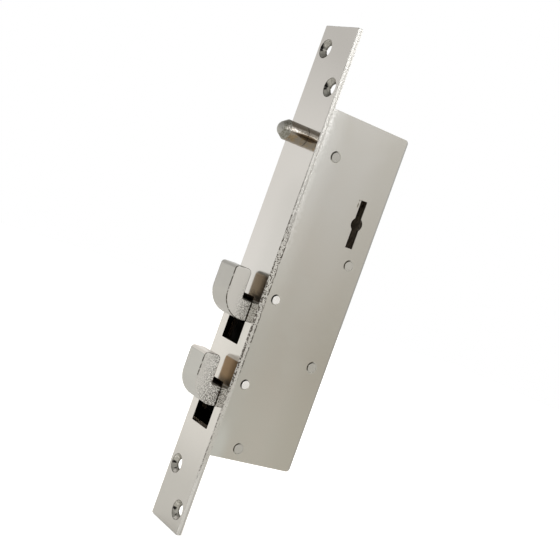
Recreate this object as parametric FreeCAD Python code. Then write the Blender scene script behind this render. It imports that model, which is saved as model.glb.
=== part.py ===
import FreeCAD, Part
import math
import os

# Sliding gate lock with two swing hooks, real size in millimetres.
# The origin is on the key axis, in the middle of the case thickness.
# +X points to the cover side, +Y to the back of the case and +Z up.

os.makedirs("parts", exist_ok=True)

# Driving dimensions: face plate
PLATE_LENGTH = 270.0
PLATE_WIDTH = 30.0
PLATE_THICK = 3.0
KEY_TO_SEAT = 38.5
KEY_ABOVE_MIDDLE = 43.5
PLATE_CORNER_R = 0.5
PLATE_RIM = 0.25
SCREW_SIDE = 8.0
SCREW_FROM_TOP = 12.3
SCREW_FROM_FOOT = 10.7
SCREW_STAGGER = 19.5
SCREW_HOLE_R = 2.6
SCREW_SINK_R = 5.2
HOOK_SLOT_WIDTH = 16.6
HOOK_SLOT_ABOVE = -2.2
HOOK_SLOT_BELOW = -27.8
HOOK_SLOT_R = 0.6

# Driving dimensions: case
CASE_TOP = 94.0
CASE_BOTTOM = -92.0
CASE_DEPTH = 52.0
PLATE_LIP = 2.5
SHEET = 1.6
CASE_CORNER_R = 2.0
KEYHOLE_R = 3.6
KEY_SLOT_UP = 12.8
KEY_SLOT_UP_WIDTH = 3.9
KEY_SLOT_UP_SHIFT = -0.3
KEY_SLOT_DOWN = 12.9
KEY_SLOT_DOWN_WIDTH = 4.5
KEY_SLOT_DOWN_SHIFT = 0.25
KEY_BIT_R = 10.4
POST_R = 4.0
POST_END_R = 2.75
POST_PROUD = 0.3
TOP_POST_IN = 12.1
TOP_POST_DROP = 22.4
REAR_POST_IN = 9.1
REAR_POST_UPPER = 21.8
REAR_POST_LOWER = -34.9
BOTTOM_POST_IN = 16.7
BOTTOM_POST_RISE = 6.4
FLANGE_ABOVE_PIVOT = 16.5
FLANGE_SILL = 0.8
END_CHAMFER = 0.3

# Driving dimensions: hooks
HOOK_PITCH = 46.0
HOOK_WIDTH = 16.0
PIVOT_BEHIND_SEAT = 7.2
UPPER_PIVOT = -6.5
PIVOT_R = 3.5
PIVOT_END_R = 2.4
PIVOT_PROUD = 0.5
HUB_R = 6.8
HOOK_FRONT = -25.9
BEAK_THICK = 9.7
HOOK_TOP = 10.5
HOOK_BOTTOM = -15.5
HOOK_BELLY_R = 13.0
HOOK_EDGE_R = 2.0
HOOK_RIM_R = 0.5
BEAK_INNER_R = 2.5
MOUTH_R = 1.2
MOUTH_FLOOR = -5.0
HOOK_TAIL_R = 6.0
CRANK_R = 10.5
STUD_R = 2.0
STUD_WALL = 2.0
STUD_DEPTH = 5.0
SLEEVE_WALL = 2.0
SWING = 90.0

# Driving dimensions: drive bar and levers
BAR_THICK = 2.2
BAR_EDGE = 3.5
BAR_CORNER_R = 2.0
BAR_BEND_R = 4.0
TALON_HALF = 2.4
TALON_LEAD = 1.0
TALON_ROOT = 0.6
TALON_BELOW = 8.0
TALON_ABOVE = 14.0
STUMP_R = 2.5
STUMP_NECK_R = 1.8
STUMP_Y = -19.0
STUMP_Z = 0.5
LEVER_POST_Y = -17.0
LEVER_POST_Z = -29.5
LEVER_POST_R = 3.0
LEVER_BOSS_R = 5.5
LEVER_FRONT = 6.5
LEVER_EDGE = 4.0
BELLY_HALF = 9.0
SHOULDER_HALF = 15.0
POCKET = 3.5
LEVER_COUNT = 6
LEVER_THICK = 1.8
LEVER_PITCH = 2.1
LEVER_SWING = 2.5
LEVER_BITS = (10.4, 9.6, 10.0, 9.2, 10.2, 9.8)
SPRING_THICK = 0.5
SPRING_LOW = -18.0
SPRING_BEND = -4.0
SPRING_TIP = 12.0
SPRING_TOP = 17.0

# Driving dimensions: guide pin
GUIDE_PIN_R = 5.3
GUIDE_PIN_HEIGHT = 76.1
GUIDE_PIN_OUT = 18.5
NOSE_LENGTH = 4.7
NOSE_CONE = 3.2
NOSE_TIP_R = 3.25
THREAD_R = 3.0
NUT_FLATS = 10.0
NUT_THICK = 5.0

# Clearances
RUN = 0.05
SIDE_PLAY = 0.2
FREE = 0.3
TOUCH = 0.02

# Places worked out from the dimensions
SEAT = -KEY_TO_SEAT
FRONT = SEAT - PLATE_THICK
MIDDLE = -KEY_ABOVE_MIDDLE
TOP = MIDDLE + CASE_TOP
BOTTOM = MIDDLE + CASE_BOTTOM
REAR = SEAT + CASE_DEPTH
OUT = PLATE_WIDTH / 2 - PLATE_LIP
IN = OUT - SHEET
FLANGE_FACE = SEAT + SHEET
PIVOT_Y = SEAT + PIVOT_BEHIND_SEAT
UPPER_Z = MIDDLE + UPPER_PIVOT
LOWER_Z = UPPER_Z - HOOK_PITCH
HALF_HOOK = HOOK_WIDTH / 2
TRAVEL = 2 * CRANK_R * math.sin(math.radians(SWING / 2))
STUD_STEP = CRANK_R * math.cos(math.radians(SWING / 2))
BAR_OUTER = -IN + SIDE_PLAY
BAR_INNER = BAR_OUTER + BAR_THICK
PIN_Z = MIDDLE + GUIDE_PIN_HEIGHT
SCREW_TOP = PLATE_LENGTH / 2 - SCREW_FROM_TOP
SCREW_FOOT = -PLATE_LENGTH / 2 + SCREW_FROM_FOOT
STUMP = (STUMP_Y, STUMP_Z)
LEVER_POST = (LEVER_POST_Y, LEVER_POST_Z)
POSTS = {
    "post_top_front": (SEAT + TOP_POST_IN, TOP - TOP_POST_DROP),
    "post_rear_upper": (REAR - REAR_POST_IN, MIDDLE + REAR_POST_UPPER),
    "post_rear_lower": (REAR - REAR_POST_IN, MIDDLE + REAR_POST_LOWER),
    "post_bottom": (SEAT + BOTTOM_POST_IN, BOTTOM + BOTTOM_POST_RISE),
}


# Shape helpers
def save(shape, name):
    shape.exportStep("parts/" + name + ".step")


def block(x0, x1, y0, y1, z0, z1):
    return Part.makeBox(x1 - x0, y1 - y0, z1 - z0, FreeCAD.Vector(x0, y0, z0))


def rod(x0, x1, y, z, r):
    return Part.makeCylinder(r, x1 - x0, FreeCAD.Vector(x0, y, z), FreeCAD.Vector(1, 0, 0))


def rod_y(y0, y1, x, z, r):
    return Part.makeCylinder(r, y1 - y0, FreeCAD.Vector(x, y0, z), FreeCAD.Vector(0, 1, 0))


def slab(x0, x1, corners):
    """Plate across X; each corner is y, z and the radius that rounds it."""
    count = len(corners)
    points = [FreeCAD.Vector(x0, c[0], c[1]) for c in corners]
    edges = []
    starts = []
    ends = []
    for i in range(count):
        radius = corners[i][2]
        before = (points[i - 1] - points[i]).normalize()
        after = (points[(i + 1) % count] - points[i]).normalize()
        half = before.getAngle(after) / 2
        reach = radius / math.tan(half)
        starts.append(points[i] + before * reach)
        ends.append(points[i] + after * reach)
        if radius > 0:
            middle = (before + after).normalize()
            centre = points[i] + middle * (radius / math.sin(half))
            edges.append(Part.Arc(starts[i], centre - middle * radius, ends[i]).toShape())
    for i in range(count):
        follower = (i + 1) % count
        if (starts[follower] - ends[i]).Length > 1e-6:
            edges.append(Part.makeLine(ends[i], starts[follower]))
    wire = Part.Wire(Part.__sortEdges__(edges))
    return Part.Face(wire).extrude(FreeCAD.Vector(x1 - x0, 0, 0))


def slot(x0, x1, start, end, r):
    """Round-ended slot cutter between two y, z points."""
    return link(x0, x1, start, r, end, r)


def link(x0, x1, first, r0, second, r1):
    """Outline that wraps two circles of the y, z plane."""
    run = FreeCAD.Vector(0, second[0] - first[0], second[1] - first[1])
    along = FreeCAD.Vector(run).normalize()
    across = FreeCAD.Vector(0, -along.z, along.y)
    lean = math.acos((r0 - r1) / run.Length)
    corners = []
    for centre, radius, side in ((first, r0, 1), (second, r1, 1), (second, r1, -1), (first, r0, -1)):
        direction = along * math.cos(lean) + across * (side * math.sin(lean))
        corners.append(FreeCAD.Vector(x0, centre[0], centre[1]) + direction * radius)
    band = Part.Face(Part.makePolygon(corners + [corners[0]])).extrude(FreeCAD.Vector(x1 - x0, 0, 0))
    first_end = rod(x0, x1, first[0], first[1], r0)
    second_end = rod(x0, x1, second[0], second[1], r1)
    return band.fuse([first_end, second_end]).removeSplitter()


def stepped_pin(y, z, body_r, end_r, reach):
    """Pin with a body between the case walls and a thinner end in each."""
    pin = rod(-IN, IN, y, z, body_r)
    ends = rod(-reach, reach, y, z, end_r)
    rims = [e for e in ends.Edges if e.Closed]
    ends = ends.makeChamfer(END_CHAMFER, rims)
    return pin.fuse(ends).removeSplitter()


def wall_hole(wall, y, z, r):
    """Hole through a case wall, with its outer rim broken."""
    low = wall[0]
    high = wall[1]
    hole = rod(low - 1, high + 1, y, z, r)
    if high > 0:
        rim = Part.makeCone(r, r + END_CHAMFER + 1, END_CHAMFER + 1,
                            FreeCAD.Vector(high - END_CHAMFER, y, z), FreeCAD.Vector(1, 0, 0))
    else:
        rim = Part.makeCone(r, r + END_CHAMFER + 1, END_CHAMFER + 1,
                            FreeCAD.Vector(low + END_CHAMFER, y, z), FreeCAD.Vector(-1, 0, 0))
    return hole.fuse(rim)


def keyhole(x0, x1):
    upper = block(x0, x1, KEY_SLOT_UP_SHIFT - KEY_SLOT_UP_WIDTH / 2,
                  KEY_SLOT_UP_SHIFT + KEY_SLOT_UP_WIDTH / 2, 0, KEY_SLOT_UP)
    lower = block(x0, x1, KEY_SLOT_DOWN_SHIFT - KEY_SLOT_DOWN_WIDTH / 2,
                  KEY_SLOT_DOWN_SHIFT + KEY_SLOT_DOWN_WIDTH / 2, -KEY_SLOT_DOWN, 0)
    return rod(x0, x1, 0, 0, KEYHOLE_R).fuse(upper).fuse(lower)


# Face plate: flat strip with four countersunk screw holes, two hook slots and the pin hole
plate = block(-PLATE_WIDTH / 2, PLATE_WIDTH / 2, FRONT, SEAT,
              MIDDLE - PLATE_LENGTH / 2, MIDDLE + PLATE_LENGTH / 2)
corners = [e for e in plate.Edges if abs(e.BoundBox.YLength - PLATE_THICK) < 1e-6]
plate = plate.makeFillet(PLATE_CORNER_R, corners)
front_rim = [e for e in plate.Edges if abs(e.BoundBox.YMax - FRONT) < 1e-6]
plate = plate.makeChamfer(PLATE_RIM, front_rim)
screws = [
    (-SCREW_SIDE, SCREW_TOP),
    (SCREW_SIDE, SCREW_TOP - SCREW_STAGGER),
    (-SCREW_SIDE, SCREW_FOOT + SCREW_STAGGER),
    (SCREW_SIDE, SCREW_FOOT),
]
for x, height in screws:
    z = MIDDLE + height
    sink = Part.makeCone(SCREW_SINK_R, SCREW_HOLE_R, SCREW_SINK_R - SCREW_HOLE_R,
                         FreeCAD.Vector(x, FRONT, z), FreeCAD.Vector(0, 1, 0))
    plate = plate.cut([rod_y(FRONT - 1, SEAT + 1, x, z, SCREW_HOLE_R), sink])
for z in (UPPER_Z, LOWER_Z):
    window = block(-HOOK_SLOT_WIDTH / 2, HOOK_SLOT_WIDTH / 2, FRONT - 1, SEAT + 1,
                   z + HOOK_SLOT_BELOW, z + HOOK_SLOT_ABOVE)
    upright = [e for e in window.Edges if e.BoundBox.YLength > 1]
    plate = plate.cut(window.makeFillet(HOOK_SLOT_R, upright))
plate = plate.cut(rod_y(FRONT - 1, SEAT + 1, 0, PIN_Z, THREAD_R + RUN))
save(plate, "face_plate")

# Guide pin: turned steel pin with a tapered nose, a domed tip and a threaded shank through the plate
shank = rod_y(FRONT, SEAT + SHEET + NUT_THICK + 0.6, 0, PIN_Z, THREAD_R)
tip_y = SEAT - GUIDE_PIN_OUT
nose_start = tip_y + NOSE_LENGTH
dome_height = NOSE_LENGTH - NOSE_CONE
dome_r = (NOSE_TIP_R ** 2 + dome_height ** 2) / (2 * dome_height)
dome_foot = math.degrees(math.asin((dome_r - dome_height) / dome_r))
body = rod_y(nose_start, FRONT, 0, PIN_Z, GUIDE_PIN_R)
taper = Part.makeCone(GUIDE_PIN_R, NOSE_TIP_R, NOSE_CONE,
                      FreeCAD.Vector(0, nose_start, PIN_Z), FreeCAD.Vector(0, -1, 0))
dome = Part.makeSphere(dome_r, FreeCAD.Vector(0, tip_y + dome_r, PIN_Z), FreeCAD.Vector(0, -1, 0),
                       dome_foot, 90, 360)
pin = body.fuse([taper, dome])
save(pin.fuse(shank).removeSplitter(), "guide_pin")

# Nut that clamps the pin, the plate and the case flange together
hexagon = []
for i in range(7):
    turn = math.radians(60 * i)
    reach = NUT_FLATS / math.sqrt(3)
    hexagon.append(FreeCAD.Vector(reach * math.cos(turn), FLANGE_FACE, PIN_Z + reach * math.sin(turn)))
nut = Part.Face(Part.makePolygon(hexagon)).extrude(FreeCAD.Vector(0, NUT_THICK, 0))
nut_bevel = Part.makeCone(NUT_FLATS / 2 + NUT_THICK, NUT_FLATS / 2 - 0.2, NUT_THICK + 0.2,
                          FreeCAD.Vector(0, FLANGE_FACE, PIN_Z), FreeCAD.Vector(0, 1, 0))
nut = nut.common(nut_bevel)
nut = nut.cut(rod_y(FLANGE_FACE - 1, FLANGE_FACE + NUT_THICK + 1, 0, PIN_Z, THREAD_R))
save(nut, "guide_pin_nut")

# Case body: folded sheet with a side, a top, a bottom, a back and two front flanges
shell = block(-OUT, IN, SEAT, REAR, BOTTOM, TOP)
folds = []
for edge in shell.Edges:
    box = edge.BoundBox
    side_fold = abs(box.XMax + OUT) < 1e-6 and box.YMax > SEAT + 1
    back_fold = box.XLength > 1 and box.YMin > REAR - 1
    if side_fold or back_fold:
        folds.append(edge)
shell = shell.makeFillet(CASE_CORNER_R, folds)
shell = shell.cut(block(-IN, IN + 1, FLANGE_FACE, REAR - SHEET, BOTTOM + SHEET, TOP - SHEET))
hook_opening = block(-IN, IN + 1, SEAT - 1, FLANGE_FACE + 1,
                     LOWER_Z + HOOK_SLOT_BELOW + FLANGE_SILL, UPPER_Z + FLANGE_ABOVE_PIVOT)
shell = shell.cut(hook_opening)
shell = shell.cut(rod_y(SEAT - 1, FLANGE_FACE + 1, 0, PIN_Z, THREAD_R + RUN))
shell = shell.cut(keyhole(-OUT - 1, -IN + 1))
shell = shell.cut(wall_hole((-OUT, -IN), LEVER_POST[0], LEVER_POST[1], PIVOT_END_R + RUN))
cover = slab(IN, OUT, [(SEAT, BOTTOM, 0), (REAR, BOTTOM, CASE_CORNER_R),
                       (REAR, TOP, CASE_CORNER_R), (SEAT, TOP, 0)])
cover = cover.cut(keyhole(IN - 1, OUT + 1))
for y, z in POSTS.values():
    shell = shell.cut(rod(-OUT - 1, -IN + 1, y, z, POST_END_R + RUN))
    cover = cover.cut(rod(IN - 1, OUT + 1, y, z, POST_END_R + RUN))
for z in (UPPER_Z, LOWER_Z):
    shell = shell.cut(wall_hole((-OUT, -IN), PIVOT_Y, z, PIVOT_END_R + RUN))
    cover = cover.cut(wall_hole((IN, OUT), PIVOT_Y, z, PIVOT_END_R + RUN))
save(shell, "case_body")
save(cover, "case_cover")

# Four posts that hold the cover at its distance and are riveted in both sides
for name, place in POSTS.items():
    save(stepped_pin(place[0], place[1], POST_R, POST_END_R, OUT + POST_PROUD), name)

# Hooks, each with its pivot pin, its side sleeve and its crank stud
beak_back = HOOK_FRONT + BEAK_THICK
stud_end = -HALF_HOOK + STUD_DEPTH
for name, z in (("upper", UPPER_Z), ("lower", LOWER_Z)):
    stud_y = PIVOT_Y + STUD_STEP
    stud_z = z - STUD_STEP
    hook = slab(-HALF_HOOK, HALF_HOOK, [
        (PIVOT_Y + HOOK_FRONT, z + HOOK_TOP, HOOK_EDGE_R),
        (PIVOT_Y + beak_back, z + HOOK_TOP, BEAK_INNER_R),
        (PIVOT_Y + beak_back, z + MOUTH_FLOOR, MOUTH_R),
        (PIVOT_Y, z + MOUTH_FLOOR, 0),
        (stud_y, stud_z, 0),
        (stud_y, z + HOOK_BOTTOM, HOOK_TAIL_R),
        (PIVOT_Y + HOOK_FRONT, z + HOOK_BOTTOM, HOOK_BELLY_R),
    ])
    rims = [e for e in hook.Edges if e.BoundBox.XLength < 1e-6]
    hook = hook.makeFillet(HOOK_RIM_R, rims)
    hub = link(-HALF_HOOK, HALF_HOOK, (PIVOT_Y, z), HUB_R, (stud_y, stud_z), STUD_R + STUD_WALL)
    hook = hook.fuse(hub).removeSplitter()
    hook = hook.cut(rod(-HALF_HOOK - 1, HALF_HOOK + 1, PIVOT_Y, z, PIVOT_R + RUN))
    hook = hook.cut(rod(-HALF_HOOK - 1, stud_end, stud_y, stud_z, STUD_R))
    save(hook, name + "_hook")
    save(rod(BAR_OUTER, stud_end, stud_y, stud_z, STUD_R), name + "_crank_stud")
    save(stepped_pin(PIVOT_Y, z, PIVOT_R, PIVOT_END_R, OUT + PIVOT_PROUD), name + "_pivot_pin")
    sleeve = rod(HALF_HOOK + SIDE_PLAY, IN, PIVOT_Y, z, PIVOT_R + SLEEVE_WALL)
    sleeve = sleeve.cut(rod(0, OUT, PIVOT_Y, z, PIVOT_R + RUN))
    save(sleeve, name + "_pivot_sleeve")

# Drive bar: flat sliding bar with a talon for the key bit and a slot for each crank stud
talon_y = -math.sqrt(KEY_BIT_R ** 2 - (TRAVEL / 2) ** 2)
talon_z = -TRAVEL / 2
bar_front = FLANGE_FACE + SIDE_PLAY * 5
bar_back = PIVOT_Y + CRANK_R + STUD_R + BAR_EDGE
bar_low = LOWER_Z - TRAVEL - PIVOT_R - BAR_EDGE
bar_top = STUMP_Z + STUMP_R + BAR_EDGE
neck_back = LEVER_POST_Y + LEVER_POST_R + BAR_EDGE
bar = slab(BAR_OUTER, BAR_INNER, [
    (bar_front, bar_low, BAR_CORNER_R),
    (bar_back, bar_low, BAR_CORNER_R),
    (bar_back, UPPER_Z - STUD_STEP + BAR_EDGE, BAR_BEND_R),
    (neck_back, UPPER_Z + PIVOT_R, BAR_BEND_R),
    (neck_back, talon_z - TALON_ABOVE, BAR_BEND_R),
    (talon_y, talon_z - TALON_BELOW, BAR_CORNER_R),
    (talon_y, bar_top, BAR_CORNER_R),
    (STUMP_Y - LEVER_FRONT, bar_top, BAR_CORNER_R),
    (STUMP_Y - LEVER_FRONT, UPPER_Z + 3 * PIVOT_R, BAR_BEND_R),
    (bar_front, UPPER_Z + 2 * PIVOT_R, BAR_BEND_R),
])
talon = slab(BAR_OUTER - 1, BAR_INNER + 1, [
    (-KEY_BIT_R - TALON_ROOT, talon_z - TALON_HALF, TALON_ROOT),
    (talon_y + TALON_LEAD, talon_z - TALON_HALF - TALON_LEAD, 0),
    (talon_y + TALON_LEAD, talon_z + TALON_HALF + TALON_LEAD, 0),
    (-KEY_BIT_R - TALON_ROOT, talon_z + TALON_HALF, TALON_ROOT),
])
bar = bar.cut(talon)
sine_error = CRANK_R * 0.03
stud_gap = STUD_R + sine_error + SIDE_PLAY
for z in (UPPER_Z, LOWER_Z):
    pin_run = slot(BAR_OUTER - 1, BAR_INNER + 1, (PIVOT_Y, z), (PIVOT_Y, z - TRAVEL),
                   PIVOT_R + 2 * RUN)
    stud_run = slot(BAR_OUTER - 1, BAR_INNER + 1, (PIVOT_Y + STUD_STEP + SIDE_PLAY, z - STUD_STEP),
                    (PIVOT_Y + CRANK_R, z - STUD_STEP), stud_gap)
    bar = bar.cut([pin_run, stud_run])
post_run = slot(BAR_OUTER - 1, BAR_INNER + 1, LEVER_POST, (LEVER_POST_Y, LEVER_POST_Z - TRAVEL),
                LEVER_POST_R + 2 * RUN)
bar = bar.cut(post_run)
bar = bar.cut(rod(BAR_OUTER - 1, BAR_INNER + 1, STUMP_Y, STUMP_Z, STUMP_NECK_R))
save(bar, "drive_bar")

# Stump: the peg of the bar that stands through the gates of all levers
first_lever = BAR_INNER + 2 * SIDE_PLAY
last_lever = first_lever + (LEVER_COUNT - 1) * LEVER_PITCH + LEVER_THICK
stump = rod(BAR_INNER, last_lever + STUMP_R / 2, STUMP_Y, STUMP_Z, STUMP_R)
neck = rod(BAR_OUTER, BAR_INNER, STUMP_Y, STUMP_Z, STUMP_NECK_R)
save(stump.fuse(neck).removeSplitter(), "drive_stump")

# Lever post with the sleeve that keeps the lever pack together
post = rod(-IN, IN - SIDE_PLAY, LEVER_POST_Y, LEVER_POST_Z, LEVER_POST_R)
post_end = rod(-OUT, -IN, LEVER_POST_Y, LEVER_POST_Z, PIVOT_END_R)
save(post.fuse(post_end).removeSplitter(), "lever_post")
sleeve = rod(last_lever + FREE, IN, LEVER_POST_Y, LEVER_POST_Z, LEVER_POST_R + SLEEVE_WALL)
sleeve = sleeve.cut(rod(0, OUT, LEVER_POST_Y, LEVER_POST_Z, LEVER_POST_R + RUN))
save(sleeve, "lever_sleeve")

# Levers: six plates that swing on the post, each with its own belly for the key bit
lean = math.radians(LEVER_SWING)
arm = STUMP_Z + TRAVEL - LEVER_POST_Z
offset = STUMP_Y - LEVER_POST_Y
open_place = (
    LEVER_POST_Y + offset * math.cos(lean) + arm * math.sin(lean),
    LEVER_POST_Z - offset * math.sin(lean) + arm * math.cos(lean),
)
lift = -LEVER_POST_Z * math.tan(lean)
lever_front = STUMP_Y - LEVER_FRONT
lever_top = open_place[1] + STUMP_R + LEVER_EDGE
for i in range(LEVER_COUNT):
    x0 = first_lever + i * LEVER_PITCH
    x1 = x0 + LEVER_THICK
    belly = -LEVER_BITS[i] + lift
    lever = slab(x0, x1, [
        (LEVER_POST_Y - LEVER_BOSS_R, LEVER_POST_Z, 0),
        (LEVER_POST_Y + LEVER_BOSS_R, LEVER_POST_Z, 0),
        (LEVER_POST_Y + LEVER_BOSS_R, -SHOULDER_HALF, BAR_CORNER_R),
        (belly, -BELLY_HALF, BAR_CORNER_R),
        (belly, BELLY_HALF, BAR_CORNER_R),
        (LEVER_POST_Y + LEVER_BOSS_R, SHOULDER_HALF, BAR_CORNER_R),
        (LEVER_POST_Y + LEVER_BOSS_R, lever_top, BAR_CORNER_R),
        (lever_front, lever_top, BAR_CORNER_R),
        (lever_front, -SHOULDER_HALF, BAR_BEND_R),
    ])
    boss = rod(x0, x1, LEVER_POST_Y, LEVER_POST_Z, LEVER_BOSS_R)
    lever = lever.fuse(boss).removeSplitter()
    for y, z in (STUMP, open_place):
        window = block(x0 - 1, x1 + 1, y - POCKET, y + POCKET, z - POCKET, z + POCKET)
        upright = [e for e in window.Edges if e.BoundBox.XLength > 1]
        lever = lever.cut(window.makeFillet(HOOK_SLOT_R, upright))
    lever = lever.cut(slot(x0 - 1, x1 + 1, STUMP, open_place, STUMP_R + FREE))
    lever = lever.cut(rod(x0 - 1, x1 + 1, LEVER_POST_Y, LEVER_POST_Z, LEVER_POST_R + RUN))
    save(lever, "lever_" + str(i + 1))

# Spring comb: spring strip on the front flange with one finger for each lever
tip = lever_front - TOUCH
bend_rise = SPRING_THICK / 3
comb = block(first_lever, last_lever, FLANGE_FACE, FLANGE_FACE + SPRING_THICK,
             SPRING_LOW, SPRING_BEND - SPRING_THICK)
for i in range(LEVER_COUNT):
    x0 = first_lever + i * LEVER_PITCH
    finger = slab(x0, x0 + LEVER_THICK, [
        (FLANGE_FACE, SPRING_BEND - 4 * SPRING_THICK, 0),
        (FLANGE_FACE + SPRING_THICK, SPRING_BEND - 4 * SPRING_THICK, 0),
        (FLANGE_FACE + SPRING_THICK, SPRING_BEND, BAR_CORNER_R),
        (tip, SPRING_TIP, BAR_CORNER_R),
        (tip, SPRING_TOP, 0),
        (tip - SPRING_THICK, SPRING_TOP, 0),
        (tip - SPRING_THICK, SPRING_TIP + bend_rise, BAR_CORNER_R + SPRING_THICK),
        (FLANGE_FACE, SPRING_BEND + bend_rise, BAR_CORNER_R + SPRING_THICK),
    ])
    comb = comb.fuse(finger)
save(comb.removeSplitter(), "lever_spring_comb")
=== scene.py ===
import bpy
import math
from mathutils import Matrix, Vector


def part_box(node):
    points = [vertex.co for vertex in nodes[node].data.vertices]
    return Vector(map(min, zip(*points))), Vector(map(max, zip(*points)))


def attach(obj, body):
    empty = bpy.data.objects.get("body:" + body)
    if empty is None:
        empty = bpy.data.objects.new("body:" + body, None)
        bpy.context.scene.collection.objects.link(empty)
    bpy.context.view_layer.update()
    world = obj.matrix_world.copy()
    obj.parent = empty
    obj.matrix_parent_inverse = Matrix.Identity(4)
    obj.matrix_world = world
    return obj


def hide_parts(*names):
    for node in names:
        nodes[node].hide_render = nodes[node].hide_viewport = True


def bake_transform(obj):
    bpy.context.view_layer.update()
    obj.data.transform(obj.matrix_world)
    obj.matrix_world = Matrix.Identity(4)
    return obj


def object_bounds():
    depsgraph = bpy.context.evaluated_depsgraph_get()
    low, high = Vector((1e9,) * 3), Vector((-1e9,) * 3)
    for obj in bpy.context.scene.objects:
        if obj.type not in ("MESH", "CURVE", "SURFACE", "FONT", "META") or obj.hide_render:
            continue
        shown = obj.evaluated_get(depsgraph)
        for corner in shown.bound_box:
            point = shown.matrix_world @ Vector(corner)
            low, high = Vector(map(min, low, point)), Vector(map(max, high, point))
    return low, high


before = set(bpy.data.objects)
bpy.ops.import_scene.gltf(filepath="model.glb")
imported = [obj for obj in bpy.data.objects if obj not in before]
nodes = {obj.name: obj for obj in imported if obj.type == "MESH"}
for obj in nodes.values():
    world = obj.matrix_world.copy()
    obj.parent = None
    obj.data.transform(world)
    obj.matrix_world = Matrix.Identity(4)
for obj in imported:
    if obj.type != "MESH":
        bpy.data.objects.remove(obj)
cad_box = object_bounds()

# Camera: it stands off the cover side, about level with the keyhole and leaning a
# fifth of a right angle, so the upright lock leans in the picture as in the photograph.
camera_place = (0.49872, -0.35140, -0.01482)
camera_tilt = 87.387
camera_lean = -19.843
camera_heading = 57.674
camera_data = bpy.data.cameras.new("photo_camera")
camera_data.lens = 73.94
camera_data.clip_start = 0.01
camera = bpy.data.objects.new("photo_camera", camera_data)
camera.location = camera_place
camera.rotation_euler = [math.radians(angle) for angle in (camera_tilt, camera_lean, camera_heading)]
bpy.context.scene.collection.objects.link(camera)
bpy.context.scene.camera = camera
bpy.context.scene.view_settings.view_transform = "Standard"

# Room: white walls that fade towards the ceiling, as a metal surface mirrors them.
# Only the side with the camera is dark, up to just above the horizon. The camera
# itself sees a plain white backdrop.


def add_node(tree, kind, values=None, **settings):
    """One shader or geometry node with its settings and its unlinked socket values."""
    node = tree.nodes.new(kind)
    for name, value in settings.items():
        setattr(node, name, value)
    for socket, value in (values or {}).items():
        node.inputs[socket].default_value = value
    return node


def join(tree, *pairs):
    """Links each pair of an output and an input socket."""
    for start, end in pairs:
        tree.links.new(start, end)


def combine(tree, operation, *values):
    """Result of one arithmetic node, whose values are sockets or numbers."""
    node = add_node(tree, "ShaderNodeMath", operation=operation)
    for socket, value in zip(node.inputs, values):
        if isinstance(value, float):
            socket.default_value = value
        else:
            tree.links.new(value, socket)
    return node.outputs[0]


def times(tree, first, *others):
    """Product of value sockets and numbers."""
    for other in others:
        first = combine(tree, "MULTIPLY", first, other)
    return first


def ramp(tree, value, low, high, start=0.0, end=1.0):
    """Value socket stretched from one range to another and held at its ends."""
    node = add_node(tree, "ShaderNodeMapRange", {1: low, 2: high, 3: start, 4: end})
    node.interpolation_type = "SMOOTHSTEP"
    tree.links.new(value, node.inputs[0])
    return node.outputs[0]


def vector_step(tree, operation, vector, fixed=None):
    """Result of one vector node for a socket and, where it needs one, a fixed vector."""
    node = add_node(tree, "ShaderNodeVectorMath", operation=operation)
    tree.links.new(vector, node.inputs[0])
    if fixed is not None:
        node.inputs[1].default_value = fixed
    gives_number = operation in ("DOT_PRODUCT", "LENGTH", "DISTANCE")
    return node.outputs["Value" if gives_number else "Vector"]


def axes(tree, vector):
    """X, Y and Z of a vector socket."""
    node = add_node(tree, "ShaderNodeSeparateXYZ")
    tree.links.new(vector, node.inputs[0])
    return node.outputs


def blend(tree, factor, start, end):
    """Colour between two, each a colour socket or a fixed colour."""
    mix = add_node(tree, "ShaderNodeMix", data_type="RGBA")
    tree.links.new(factor, mix.inputs["Factor"])
    for label, colour in (("A", start), ("B", end)):
        if isinstance(colour, tuple):
            mix.inputs[label].default_value = (*colour, 1)
        else:
            tree.links.new(colour, mix.inputs[label])
    return mix.outputs["Result"]


def wall(tree, level, stops):
    """Greys of a wall from floor to ceiling, given as height, brightness and warmth."""
    node = add_node(tree, "ShaderNodeValToRGB")
    node.color_ramp.interpolation = "EASE"
    points = node.color_ramp.elements
    while len(points) < len(stops):
        points.new(1.0)
    for point, (height, grey, warmth) in zip(points, stops):
        point.position = 0.5 + 0.5 * height
        point.color = (grey, grey * (1 - 0.4 * warmth), grey * (1 - warmth), 1)
    tree.links.new(level, node.inputs[0])
    return node.outputs[0]


room = bpy.data.worlds.new("studio_room")
room.use_nodes = True
tree = room.node_tree
tree.nodes.clear()
way = add_node(tree, "ShaderNodeTexCoord").outputs["Generated"]
way_z = axes(tree, way)[2]
level = combine(tree, "MULTIPLY_ADD", way_z, 0.5, 0.5)
front_wall = wall(tree, level, [
    (-1.0, 0.9, 0.04), (-0.05, 0.96, 0.03), (0.06, 0.90, 0.04),
    (0.17, 0.68, 0.05), (0.45, 0.62, 0.05), (1.0, 0.40, 0.04),
])
back_wall = wall(tree, level, [
    (-1.0, 0.7, 0.10), (-0.05, 0.80, 0.08), (0.08, 0.95, 0.04),
    (0.25, 1.00, 0.03), (0.55, 0.75, 0.05), (1.0, 0.40, 0.04),
])
corner_wall = wall(tree, level, [
    (-1.0, 0.8, 0.05), (0.0, 0.95, 0.03), (0.45, 0.98, 0.03), (0.70, 0.45, 0.04), (1.0, 0.40, 0.04),
])
towards_back = vector_step(tree, "DOT_PRODUCT", way, (0.83, 0.56, 0.0))
towards_corner = vector_step(tree, "DOT_PRODUCT", way, (-0.6, 0.8, 0.0))
towards_camera = vector_step(tree, "DOT_PRODUCT", way, (0.815, -0.575, 0.0))
walls = blend(tree, ramp(tree, towards_back, -0.35, 0.45), front_wall, back_wall)
cornered = blend(tree, ramp(tree, towards_corner, 0.30, 0.60), walls, corner_wall)
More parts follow.
